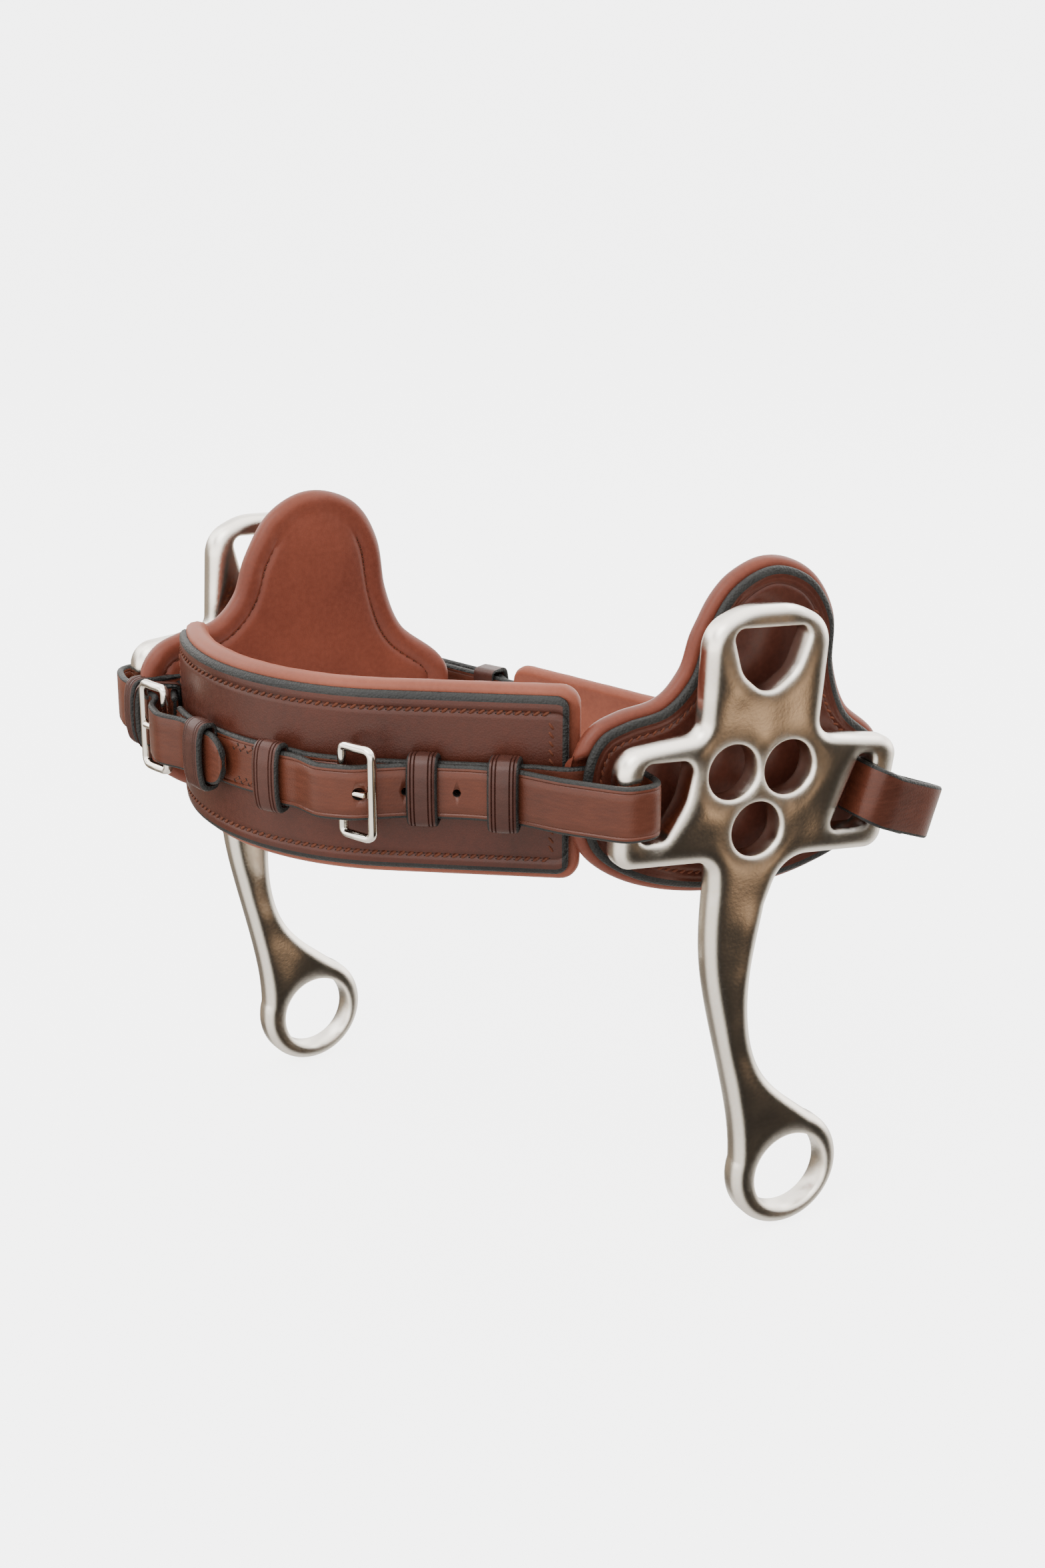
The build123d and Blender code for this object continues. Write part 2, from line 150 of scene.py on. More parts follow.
def rounded(points, radii, step=1.0):
    """Points along a polyline whose corners are rounded."""
    points = [Vector(p) for p in points]
    if not hasattr(radii, "__len__"):
        radii = [radii] * (len(points) - 2)
    out = [points[0]]
    for before, corner, after, radius in zip(points, points[1:], points[2:], radii):
        a, b = (before - corner), (after - corner)
        u, v = a.normalized(), b.normalized()
        turn = math.pi - u.angle(v)
        if turn < 1e-3:
            out.append(corner)
            continue
        room_before = a.length if before is points[0] else 0.499 * a.length
        room_after = b.length if after is points[-1] else 0.499 * b.length
        reach = min(radius * math.tan(turn / 2), room_before, room_after)
        radius = reach / math.tan(turn / 2)
        centre = corner + (u + v).normalized() * (radius / math.cos(turn / 2))
        first, last = (corner + u * reach - centre), (corner + v * reach - centre)
        count = max(2, int(turn * radius / step) + 1)
        for k in range(count + 1):
            out.append(centre + first.normalized().slerp(last.normalized(), k / count) * radius)
    out.append(points[-1])
    return [p for i, p in enumerate(out) if i == 0 or (p - out[i - 1]).length > 1e-4]


class Path:
    """A line measured by its own length."""

    def __init__(self, points):
        self.points = np.array([tuple(p) for p in points])
        gaps = np.linalg.norm(np.diff(self.points, axis=0), axis=1)
        self.marks = np.concatenate([[0], np.cumsum(gaps)])
        self.length = float(self.marks[-1])

    def at(self, s):
        return Vector([float(np.interp(s, self.marks, self.points[:, k])) for k in range(3)])

    def eased(self, passes, step=1.0):
        """The same line, resampled and softened, with its ends kept."""
        count = max(8, int(self.length / step))
        line = np.array([tuple(self.at(self.length * k / count)) for k in range(count + 1)])
        for _ in range(passes):
            line[1:-1] = 0.5 * line[1:-1] + 0.25 * (line[:-2] + line[2:])
        return Path(line)


def new_object(name, verts, faces, mats, face_mats=None, sharp=40):
    """A smooth-shaded object from points in millimetres, sharp above an angle in degrees."""
    mesh = bpy.data.meshes.new(name)
    mesh.from_pydata([tuple(Vector(v) * MM) for v in verts], [], faces)
    for mat in mats:
        mesh.materials.append(mat)
    if face_mats:
        mesh.polygons.foreach_set("material_index", face_mats)
    bm = bmesh.new()
    bm.from_mesh(mesh)
    bmesh.ops.recalc_face_normals(bm, faces=bm.faces)
    bm.to_mesh(mesh)
    bm.free()
    mesh.shade_smooth()
    mesh.set_sharp_from_angle(angle=math.radians(sharp))
    obj = bpy.data.objects.new(name, mesh)
    bpy.context.scene.collection.objects.link(obj)
    return obj


# distances from the ends of a sweep where it has a ring of points, so the ends can be rounded
END_CUTS = (0.0, 0.12, 0.35, 0.7, 1.2, 1.8, 2.6, 3.6, 4.8, 6.4, 8.2, 10.2)


def sweep(name, path, profile, mats, up=UP, step=1.4, closed=False, shape=None, sharp=40, rim=0.0):
    """Sweeps a profile of (u, v, material) along a path. u is along up, v is to its left.
    Within rim of either end every face takes material 1."""
    length = path.length
    glance = 0.4
    if closed:
        count = max(24, int(length / step))
        marks = [length * k / count for k in range(count)]
    else:
        inner = [c for c in END_CUTS if c < length / 2]
        count = max(2, int((length - 2 * inner[-1]) / step))
        marks = inner + [inner[-1] + (length - 2 * inner[-1]) * k / count for k in range(1, count)]
        marks += [length - c for c in reversed(inner)]
    verts, faces, face_mats = [], [], []
    around = len(profile)
    for s in marks:
        if closed:
            ahead, behind = path.at((s + glance) % length), path.at((s - glance) % length)
        else:
            ahead, behind = path.at(min(length, s + glance)), path.at(max(0, s - glance))
        tangent = (ahead - behind).normalized()
        at = path.at(s)
        top = up(at) if callable(up) else up
        lift = (top - tangent * top.dot(tangent)).normalized()
        left = lift.cross(tangent)
        for u, v, _ in profile:
            if shape:
                u, v = shape(s, length, u, v)
            verts.append(at + lift * u + left * v)
    rings = len(marks)
    for i in range(rings if closed else rings - 1):
        a, b = i * around, ((i + 1) % rings) * around
        for j in range(around):
            k = (j + 1) % around
            faces.append((a + j, a + k, b + k, b + j))
            middle = (marks[i] + marks[(i + 1) % rings]) / 2
            face_mats.append(1 if min(middle, length - middle) < rim else profile[j][2])
    if not closed:
        for base, flip in ((0, True), ((rings - 1) * around, False)):
            ring = list(range(base, base + around))
            faces.append(ring[::-1] if flip else ring)
            face_mats.append(1 if len(mats) > 1 else 0)
    return new_object(name, verts, faces, mats, face_mats, sharp)


def strap_profile(width, thick, crease=2.0):
    """Section of a strap: creased faces and rounded, dyed edges. Material 1 is the edge."""
    w, t = width / 2, thick / 2
    face = [(w - 1.0, t - 0.06), (w - crease + 0.4, t + 0.03), (w - crease, t - 0.28),
            (w - crease - 0.45, t + 0.04), (w * 0.5, t + 0.1), (0, t + 0.14)]
    outer = mirrored(face)
    edge = [(w - 0.45, t - 0.26), (w - 0.1, t - 0.7), (w, 0), (w - 0.1, -t + 0.6), (w - 0.45, -t + 0.2)]
    loop = [(u, v, 0) for u, v in outer]
    loop[-1] = loop[-1][:2] + (1,)
    loop += [(-u, v, 1) for u, v in edge]
    back = [(-(w - 1.0), -t), (-w * 0.4, -t - 0.04), (w * 0.4, -t - 0.04), (w - 1.0, -t)]
    loop += [(u, v, 0) for u, v in back[:-1]] + [back[-1] + (1,)]
    loop += [(u, v, 1) for u, v in reversed(edge)]
    return loop


TIP_RUN = 8.0                             # length of a strap's pointed tip


def bevelled_ends(corner, thick, tip=False):
    """Rounds the corners and edges at the ends of a sweep, or brings its far end to a point."""

    def shape(s, length, u, v):
        for d, pointed in ((s, False), (length - s, tip)):
            if pointed:
                if d < TIP_RUN:
                    u *= 0.12 + 0.88 * eased_rise(d, TIP_RUN)
            elif d < corner:
                cut = corner_cut(d, corner) * min(1.0, abs(u) / 6.0)
                u = math.copysign(max(0.0, abs(u) - cut), u)
            if d < thick:
                v *= 0.45 + 0.55 * eased_rise(d, thick)
        return u, v

    return shape


# ---- materials ----
def add(nodes, kind, operation=None, **values):
    """A new node, with its operation and the values of its inputs."""
    node = nodes.new("ShaderNode" + kind)
    if operation:
        node.operation = operation
    for name, value in values.items():
        node.inputs[name.replace("_", " ")].default_value = value
    return node


def new_material(name):
    """A material with its nodes, its links, its shader and its object coordinates."""
    mat = bpy.data.materials.new(name)
    mat.use_nodes = True
    nodes, links = mat.node_tree.nodes, mat.node_tree.links
    return mat, nodes, links, nodes["Principled BSDF"], add(nodes, "TexCoord").outputs["Object"]


BLOTCH = 22.0                             # scale of the leathers' broad colour patches


def leather(name, base, shade, rough, grain=1500, bump=0.10, coat=0.10, streak=None):
    """Leather between two colours, with broad patches, fine pores and a grained surface."""
    mat, nodes, links, bsdf, place = new_material(name)
    bsdf.inputs["Coat Weight"].default_value = coat
    bsdf.inputs["Coat Roughness"].default_value = 0.28
    bsdf.inputs["Specular IOR Level"].default_value = 0.23
    broad = add(nodes, "TexNoise", Scale=BLOTCH, Detail=3)
    links.new(place, broad.inputs["Vector"])
    fine = add(nodes, "TexNoise", Scale=grain * 0.33, Detail=4)
    if streak:
        mapping = add(nodes, "Mapping", Scale=streak)
        links.new(place, mapping.inputs["Vector"])
        links.new(mapping.outputs["Vector"], fine.inputs["Vector"])
    else:
        links.new(place, fine.inputs["Vector"])
    mixed = add(nodes, "Math", "MULTIPLY_ADD")
    mixed.inputs[1].default_value = 0.35
    links.new(fine.outputs["Fac"], mixed.inputs[0])
    links.new(broad.outputs["Fac"], mixed.inputs[2])
    ramp = add(nodes, "ValToRGB")
    for element, position, colour in zip(ramp.color_ramp.elements, (0.42, 0.88), (shade, base)):
        element.position = position
        element.color = (*colour, 1)
    links.new(mixed.outputs[0], ramp.inputs["Fac"])
    links.new(ramp.outputs["Color"], bsdf.inputs["Base Color"])
    gloss = add(nodes, "MapRange", To_Min=rough - 0.08, To_Max=rough + 0.1)
    links.new(fine.outputs["Fac"], gloss.inputs["Value"])
    links.new(gloss.outputs["Result"], bsdf.inputs["Roughness"])
    cells = add(nodes, "TexVoronoi", Scale=grain)
    links.new(place, cells.inputs["Vector"])
    relief = add(nodes, "Math", "ADD")
    links.new(cells.outputs["Distance"], relief.inputs[0])
    links.new(fine.outputs["Fac"], relief.inputs[1])
    bumps = add(nodes, "Bump", Strength=bump, Distance=0.0004)
    links.new(relief.outputs[0], bumps.inputs["Height"])
    links.new(bumps.outputs["Normal"], bsdf.inputs["Normal"])
    return mat


def metal(name, base, rough, ripple=0.35, soft=(), crown_at=0.0):
    """Polished metal with faint ripples. soft gives (radius, share) of the edges' rounding in metres,
    and crown_at is the middle of a casting's crowned face along Y."""
    mat, nodes, links, bsdf, place = new_material(name)
    bsdf.inputs["Metallic"].default_value = 1.0
    broad = add(nodes, "TexNoise", Scale=38, Detail=1)
    fine = add(nodes, "TexNoise", Scale=900, Detail=5)
    for node in (broad, fine):
        links.new(place, node.inputs["Vector"])
    tint = add(nodes, "ValToRGB")
    tint.color_ramp.elements[0].color = (base[0] * 0.9, base[1] * 0.87, base[2] * 0.82, 1)
    tint.color_ramp.elements[1].color = (*base, 1)
    links.new(fine.outputs["Fac"], tint.inputs["Fac"])
    links.new(tint.outputs["Color"], bsdf.inputs["Base Color"])
    gloss = add(nodes, "MapRange", To_Min=rough * 0.7, To_Max=rough * 1.5)
    links.new(fine.outputs["Fac"], gloss.inputs["Value"])
    links.new(gloss.outputs["Result"], bsdf.inputs["Roughness"])
    cast = add(nodes, "Bump", Strength=ripple, Distance=0.0016)
    links.new(broad.outputs["Fac"], cast.inputs["Height"])
    if soft:
        grain = add(nodes, "Bump", Strength=0.25, Distance=0.00006)
        links.new(fine.outputs["Fac"], grain.inputs["Height"])
        total = None
        for radius, share in soft:
            edges = add(nodes, "Bevel", Radius=radius)
            edges.samples = 6
            part = add(nodes, "VectorMath", "MULTIPLY_ADD")
            part.inputs[1].default_value = (share, share, share)
            links.new(edges.outputs["Normal"], part.inputs[0])
            if total:
                links.new(total, part.inputs[2])
            total = part.outputs["Vector"]
        crown = add(nodes, "VectorMath", "MULTIPLY_ADD")
        crown.inputs[1].default_value = (0, CROWN, 0)
        crown.inputs[2].default_value = (0, -CROWN * crown_at, 0)
        links.new(place, crown.inputs[0])
        domed = add(nodes, "VectorMath", "ADD")
        links.new(total, domed.inputs[0])
        links.new(crown.outputs["Vector"], domed.inputs[1])
        unit = add(nodes, "VectorMath", "NORMALIZE")
        links.new(domed.outputs["Vector"], unit.inputs[0])
        links.new(unit.outputs["Vector"], grain.inputs["Normal"])
        links.new(grain.outputs["Normal"], cast.inputs["Normal"])
    links.new(cast.outputs["Normal"], bsdf.inputs["Normal"])
    return mat


DARK = leather("dark_leather_face", (0.100, 0.027, 0.016), (0.052, 0.014, 0.0085), rough=0.36)
STRAP = leather("strap_leather_face", (0.150, 0.042, 0.022), (0.066, 0.018, 0.010), rough=0.38,
                streak=(0.4, 0.4, 2.2))
LOOP = leather("keeper_leather_face", (0.085, 0.029, 0.020), (0.042, 0.014, 0.010), rough=0.40)
LINING = leather("lining_leather_face", (0.40, 0.125, 0.074), (0.25, 0.072, 0.042), rough=0.5,
                 grain=1900, bump=0.06, coat=0.03)
# the guards' pads: a darker copy of the lining leather, painted shade for the inside of the guards
SHADED_PAD = leather("guard_lining_shaded_face", (0.26, 0.070, 0.040), (0.16, 0.041, 0.024), rough=0.42,
              grain=1900, bump=0.06, coat=0.06)
EDGE = leather("dyed_edge", (0.034, 0.034, 0.032), (0.008, 0.008, 0.008), rough=0.5,
               grain=1300, bump=0.5, coat=0.0)
THREAD = leather("thread", (0.17, 0.050, 0.023), (0.085, 0.024, 0.012), rough=0.6,
                 grain=5200, bump=0.25, coat=0.0)
# near-black material for painted shade: discs in the awl slits and the walls of punched holes
SHADOW = leather("hole_painted_shade", (0.02, 0.012, 0.01), (0.008, 0.006, 0.005), rough=0.8,
                 grain=2500, bump=0.05, coat=0.0)
METAL = metal("polished_nickel", (0.86, 0.825, 0.77), 0.10)
CROWN = 2.6                               # how a casting's face is crowned, in radians per metre
CAST_ROUNDING = ((0.0016, 0.62), (0.0095, 0.38))
CAST = {side: metal(f"polished_casting_{SIDES[side]}", (0.86, 0.82, 0.76), 0.11, ripple=0.8,
                    soft=CAST_ROUNDING, crown_at=CHEEK_HOME[side].y * MM) for side in SIDES}


def finish_piece(obj, body, replaced=()):
    """Ties a piece to its body and the CAD nodes it stands for."""
    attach(obj, body)
    if replaced:
        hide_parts(*replaced)
    return obj


# ---- stitching ----
# a thread bar's (distance, thickness) along its half length, and the points round it
BAR = ((-1, 0.35), (-0.75, 0.85), (-0.3, 1.0), (0.3, 1.0), (0.75, 0.85), (1, 0.35))
BAR_SIDES = 8
TURNS = [2 * math.pi * a / BAR_SIDES for a in range(BAR_SIDES)]


def stitches(name, places, body, length=2.7, radius=0.46, slant=0.62, awl=0.62):
    """A slanted thread bar at each (point, direction, surface normal), between dark discs that paint the
    shade of the awl slits.
    """
    verts, faces, face_mats = [], [], []
    for at, along, normal in places:
        along, normal = along.normalized(), normal.normalized()
        along = (along - normal * along.dot(normal)).normalized()
        side = normal.cross(along)
        lean = slant + rng.uniform(-0.05, 0.05)
        run = (along * math.cos(lean) + side * math.sin(lean)).normalized()
        cross = normal.cross(run)
        base = len(verts)
        half = length / 2 * rng.uniform(0.93, 1.05)
        for pos, fat in BAR:
            sunk = 0.08 - 0.22 * pos * pos
            for turn in TURNS:
                verts.append(at + run * (pos * half) + cross * (math.cos(turn) * radius * fat)
                             + normal * (math.sin(turn) * radius * fat * 0.85 + sunk))
        for low in range(base, base + (len(BAR) - 1) * BAR_SIDES, BAR_SIDES):
            for a in range(BAR_SIDES):
                b = (a + 1) % BAR_SIDES
                faces.append((low + a, low + b, low + BAR_SIDES + b, low + BAR_SIDES + a))
        last = base + (len(BAR) - 1) * BAR_SIDES
        faces.append(tuple(base + a for a in reversed(range(BAR_SIDES))))
        faces.append(tuple(last + a for a in range(BAR_SIDES)))
        face_mats += [0] * (len(faces) - len(face_mats))
        # dark discs at both ends of each bar: painted shade of the awl slits
        for end in (-1, 1):
            base = len(verts)
            for turn in TURNS:
                verts.append(at + run * (end * half + math.cos(turn) * awl * 0.55)
                             + cross * (math.sin(turn) * awl) + normal * 0.03)
            faces.append(tuple(base + a for a in range(BAR_SIDES)))
            face_mats.append(1)
    obj = new_object(name, verts, faces, [THREAD, SHADOW], face_mats, sharp=80)
    return finish_piece(obj, body)


PITCH = 2.8                               # from stitch to stitch


def row(first, last, point):
    """Stitch places between two marks, where point(mark) gives a place."""
    count = max(1, round(abs(last - first) / PITCH))
    return [point(first + (last - first) * (k + 0.5) / count) for k in range(count)]


# ---- noseband ----
def nose_path(first, last, out, z):
    """Line along the noseband between two stations, at a distance outward."""
    count = int((last - first) / 1.5)
    return Path([nose(first + (last - first) * k / count, out, z) for k in range(count + 1)])


LEATHER_FIRST, LEATHER_LAST, LEATHER_T, LEATHER_H = -1.0, 163.0, 3.0, 57.0
h, t = LEATHER_H / 2, LEATHER_T / 2
SEAM = 5.2                                # from the leather's border to the groove of its seam
face = mirrored([(h - 2.1, t - 0.05), (h - 2.6, t - 0.02), (h - 3.3, t + 0.10), (h - 4.2, t + 0.08),
                 (h - SEAM + 0.5, t - 0.25), (h - SEAM, t - 0.42), (h - SEAM - 0.5, t - 0.25),
                 (h - 6.2, t + 0.08), (h - 7.2, t + 0.12), (h * 0.45, t + 0.2), (0, t + 0.25)])
rim = [(h - 1.5, t - 0.2), (h - 0.8, t - 0.55), (h - 0.25, t - 1.1), (h, t - 1.7), (h - 0.1, -t + 0.5),
       (h - 0.6, -t)]
profile = [(u, v, 0) for u, v in face[:-1]] + [face[-1] + (1,)]
profile += [(-u, v, 1) for u, v in rim]
profile += [(-(h - 1.4), -t, 0), (0, -t, 0), (h - 1.4, -t, 1)]
profile += [(u, v, 1) for u, v in reversed(rim)]
band = sweep("noseband_outer", nose_path(LEATHER_FIRST, LEATHER_LAST, t, NOSE_Z), profile, [DARK, EDGE],
             shape=bevelled_ends(4.0, 1.6), rim=2.0)
finish_piece(band, "noseband", ["noseband_leather"])

places = []
for level in (h - SEAM, -h + SEAM):
    places += row(LEATHER_FIRST + 5.5, LEATHER_LAST - 5.5,
                  lambda s: (nose(s, LEATHER_T - 0.2, NOSE_Z + level), nose_frame(s)[1], nose_frame(s)[2]))
for mark in (LEATHER_FIRST + SEAM, LEATHER_LAST - SEAM):
    places += row(-h + 7.5, h - 7.5,
                  lambda z: (nose(mark, LEATHER_T + 0.02, NOSE_Z + z), UP, nose_frame(mark)[2]))
stitches("noseband_stitching", places, "noseband")

LINING_FIRST, LINING_LAST, LINING_OUT, LINING_H = -4.0, 165.0, -4.1, 62.0
h = LINING_H / 2
roll = [(h - 3.0, 0.9), (h - 1.4, 0.5), (h - 0.3, -0.9), (h + 0.1, -3.0), (h - 0.5, -5.2), (h - 2.2, -6.4)]
back = [(h - 4.6, -6.7), (h - 6.8, -6.2), (h - 7.6, -5.9), (h - 8.4, -6.2), (h * 0.5, -7.6), (0, -8.0)]
profile = [(u, v + 4, 0) for u, v in reversed(mirrored([(h - 4.2, -0.1)] + roll + back))]


def lining_ends(s, length, u, v):
    """Rounds a pad's ends and corners, and gives its back soft, shallow waves."""
    d = min(s, length - s)
    corner, roll, middle = 6.0, 3.6, 0.6
    if d < corner:
        u = math.copysign(max(0.0, abs(u) - corner_cut(d, corner) * min(1.0, abs(u) / 8.0)), u)
    if d < roll:
        v = middle + (v - middle) * (0.30 + 0.70 * eased_rise(d, roll))
    wave = 0.16 * math.sin(s * 0.55 + u * 0.12) * math.sin(s * 0.21 + 1.3)
    return u, v - (wave if v < 0 else 0)


lining = sweep("noseband_padding", nose_path(LINING_FIRST, LINING_LAST, LINING_OUT, NOSE_Z), profile,
               [LINING], shape=lining_ends, sharp=75)
finish_piece(lining, "noseband", ["noseband_lining"])

# ---- straps on the noseband ----
SECTION = strap_profile(STRAP_W, STRAP_T)
base_points = [nose(s, BASE_OUT) for s in (66, 72, 78)]
base_points += [nose(84 + 39 * k / 12, BED_OUT) for k in range(13)]
base_points += [nose(s, BASE_OUT) for s in (129, 135, 141)]
base = sweep("nose_strap_middle", Path(base_points).eased(3), SECTION, [STRAP, EDGE],
             shape=bevelled_ends(0.5, 0.5))
finish_piece(base, "noseband", ["nose_base_strap"])


def punch(obj, holes, radius=1.25):
    """Punches round holes through a strap at (point, normal) pairs; the holes' walls take the near-black
    material as painted shade.
    """
    verts, faces = [], []
    around, reach = 20, 6
    for at, normal in holes:
        side = normal.cross(UP).normalized()
        rise = side.cross(normal)
        base = len(verts)
        for depth in (-reach, reach):
            for k in range(around):
                a = 2 * math.pi * k / around
                verts.append(at + normal * depth + side * (radius * math.cos(a))
                             + rise * (radius * math.sin(a)))
        far = base + around
        faces += [(base + k, base + (k + 1) % around, far + (k + 1) % around, far + k)
                  for k in range(around)]
        faces += [tuple(base + k for k in reversed(range(around))),
                  tuple(far + k for k in range(around))]
    # the cutter's near-black material passes to the holes' walls: painted shade inside the holes
    cutter = new_object("cutter", verts, faces, [SHADOW])
    obj.data.materials.append(SHADOW)
    modifier = obj.modifiers.new("punch", "BOOLEAN")
    modifier.operation = "DIFFERENCE"
    modifier.object = cutter
    modifier.solver = "EXACT"
    modifier.material_mode = "TRANSFER"
    with bpy.context.temp_override(object=obj, active_object=obj):
        bpy.ops.object.modifier_apply(modifier=modifier.name)
    bpy.data.objects.remove(cutter)


TONGUE_AT = 5.4                           # from a hinge bar to the hole its tongue goes through
TONGUE_HOLE_R = 2.0
LEFT_POINTS = [nose(58, BASE_OUT), nose(6, BASE_OUT), cheek(1, -56.0, -17.2), cheek(1, -44.5, -15.2),
               cheek(1, -35.6, -12), cheek(1, -35.6, 7.6), cheek(1, -47.5, 7.6), cheek(1, -61, -9),
               nose(13, 11.2), nose(26, BILLET_OUT), nose(47, BILLET_OUT), nose(LEFT_HINGE - 3, CREST_OUT),
               nose(LEFT_HINGE + 6, CREST_OUT), nose(LEFT_HINGE + 14, BILLET_OUT), nose(92.5, BILLET_OUT)]
left_path = Path(rounded(LEFT_POINTS, [30, 8, 5, 4, 5, 6, 14, 12, 30, 12, 6, 5, 6])).eased(5)
left_strap = sweep("left_strap", left_path, SECTION, [STRAP, EDGE],
                   shape=bevelled_ends(0.5, 0.6, tip=True))
punch(left_strap, [(nose(s, BILLET_OUT), nose_frame(s)[2]) for s in (32, 47.6)])
hole = LEFT_HINGE - TONGUE_AT
punch(left_strap, [(nose(hole, CREST_OUT - 1), nose_frame(hole)[2])], radius=TONGUE_HOLE_R)
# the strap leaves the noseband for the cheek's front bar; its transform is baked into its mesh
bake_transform(left_strap)
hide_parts("left_front_fold", "left_billet", "left_buckle_chape")

RIGHT_POINTS = [nose(150, BASE_OUT), nose(160, BASE_OUT), cheek(-1, -41.4, -22.3), cheek(-1, -37.4, -11),
                cheek(-1, -37.4, 7.0), cheek(-1, -50.6, 7.0), cheek(-1, -54.2, -6), cheek(-1, -54.2, -23.2),
                nose(RIGHT_HINGE + 11.5, CREST_OUT - 2.9), nose(RIGHT_HINGE + 3, CREST_OUT),
                nose(RIGHT_HINGE - 6, CREST_OUT), nose(RIGHT_HINGE - 14, BILLET_OUT), nose(118, BILLET_OUT),
                nose(106.5, BILLET_OUT + 0.5)]
right_path = Path(rounded(RIGHT_POINTS, [20, 8, 5, 5.5, 6, 12, 4, 8, 6, 5, 6, 30])).eased(4)
right_strap = sweep("right_strap", right_path, SECTION, [STRAP, EDGE],
                    shape=bevelled_ends(0.5, 0.6, tip=True))
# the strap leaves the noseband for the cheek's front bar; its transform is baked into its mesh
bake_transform(right_strap)
hole = RIGHT_HINGE + TONGUE_AT
punch(right_strap, [(nose(hole, CREST_OUT - 1), nose_frame(hole)[2])], radius=TONGUE_HOLE_R)
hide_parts("right_front_fold", "right_billet", "right_buckle_chape")

places = []
for level in (STRAP_W / 2 - 3.4, -STRAP_W / 2 + 3.4):
    places += row(94, 106, lambda s: (nose(s, BED_OUT + STRAP_T / 2 + 0.05, STRAP_Z + level),
                                      nose_frame(s)[1], nose_frame(s)[2]))
stitches("nose_strap_stitching", places, "noseband", radius=0.3)


# ---- keepers ----
KEEPER_T = 1.3
KEEPER_CLEAR_H = 19.3
KEEPER_CROWN = 0.7                        # how far a keeper's front bulges


def rounded_loop(corners, radii, step):
    """Points round a closed plan whose corners are rounded."""
    ring = []
    count = len(corners)
    for k in range(count):
        a, b, c = (Vector((*corners[(k + d) % count], 0)) for d in (-1, 0, 1))
        ring += rounded([(a + b) / 2, b, (b + c) / 2], radii[k], step)[1:]
    return ring


def keeper(name, at, along, normal, inner, outer, width, body, replaced):
    """A leather loop: at is its middle on the strap's line, clear from inner to outer."""
    t, crown = KEEPER_T, KEEPER_CROWN
    low, high, deep = inner - t / 2, outer + t / 2, KEEPER_CLEAR_H / 2 + t / 2
    corners = [(low, -deep), (low, deep), (high - 0.6, deep), (high + crown * 0.7, deep * 0.5),
               (high + crown, 0), (high + crown * 0.7, -deep * 0.5), (high - 0.6, -deep)]
    ring = rounded_loop(corners, [1.4, 1.4, 2.6, 6, 10, 6, 2.6], 0.6)
    line = [at + normal * p.x + UP * p.y for p in ring]
    line.append(line[0])
    path = Path(line)

    def swell(s, length, u, v):
        """The outside of the loop stands proud of the strap."""
        front = ((path.at(s) - at).dot(normal) - low) / (high - low)
        return u, (v * (1 + 0.9 * max(0.0, min(1.0, front * 1.6))) if v > 0 else v)

    w, half_t = width / 2, t / 2
    face = [(w - 0.7, half_t - 0.08), (w - 1.3, half_t + 0.02), (w - 1.55, half_t - 0.22),
            (w - 1.8, half_t + 0.04), (w - 2.4, half_t + 0.04), (w - 2.65, half_t - 0.18),
            (w - 2.9, half_t + 0.06), (0, half_t + 0.1)]
    section = [(u, v, 0) for u, v in mirrored(face)]
    section[-1] = section[-1][:2] + (1,)
    section += [(-w + 0.25, half_t - 0.3, 1), (-w, 0, 1), (-w + 0.2, -half_t, 0),
                (w - 0.2, -half_t, 1), (w, 0, 1), (w - 0.25, half_t - 0.3, 1)]
    loop = sweep(name, path, section, [LOOP, EDGE], up=along, step=0.9, closed=True, shape=swell)
    finish_piece(loop, body, [replaced])


for name, station, inner, outer, width, body in (
    ("left_inner_keeper", 88.5, 6.3, 10.3, 9.6, "noseband"),
    ("right_inner_keeper", 118.0, 6.3, 10.6, 10.0, "noseband"),
    ("left_loose_keeper", 42.5, 4.4, 10.3, 9.6, "left_loose_keeper"),
    ("left_outer_keeper", 17.5, 4.4, 13.0, 9.6, "left_outer_keeper"),
    ("right_loose_keeper", 158.0, 4.4, 16.5, 3.4, "noseband"),
):
    at, along, normal = nose_frame(station)
    keeper(name + "_loop", at + UP * STRAP_Z, along, normal, inner, outer, width, body, name)

PLATE_REAR = {s: Vector((s * math.sin(TOE), math.cos(TOE), 0)) for s in (1, -1)}
PLATE_OUT = {s: Vector((s * math.cos(TOE), -math.sin(TOE), 0)) for s in (1, -1)}
keeper("right_outer_keeper_loop", cheek(-1, 0, -17.4), PLATE_OUT[-1], -PLATE_REAR[-1], 37.4, 56.2, 6.2,
       "cheek_right", "right_outer_keeper")


# ---- buckles ----
FRAME_L, FRAME_HALF = 12.0, 14.0          # hinge bar to front bar, and half the bars' length
FRAME_TILT = math.radians(24)             # the frame leans out from the strap
WIRE_R, PIN_R, EYE_R = 1.6, 1.05, 2.35


def round_profile(radius, squash, count=12):
    """Section of a wire, flattened by squash."""
    turns = [2 * math.pi * k / count for k in range(count)]
    return [(radius * math.cos(a), radius * squash * math.sin(a), 0) for a in turns]


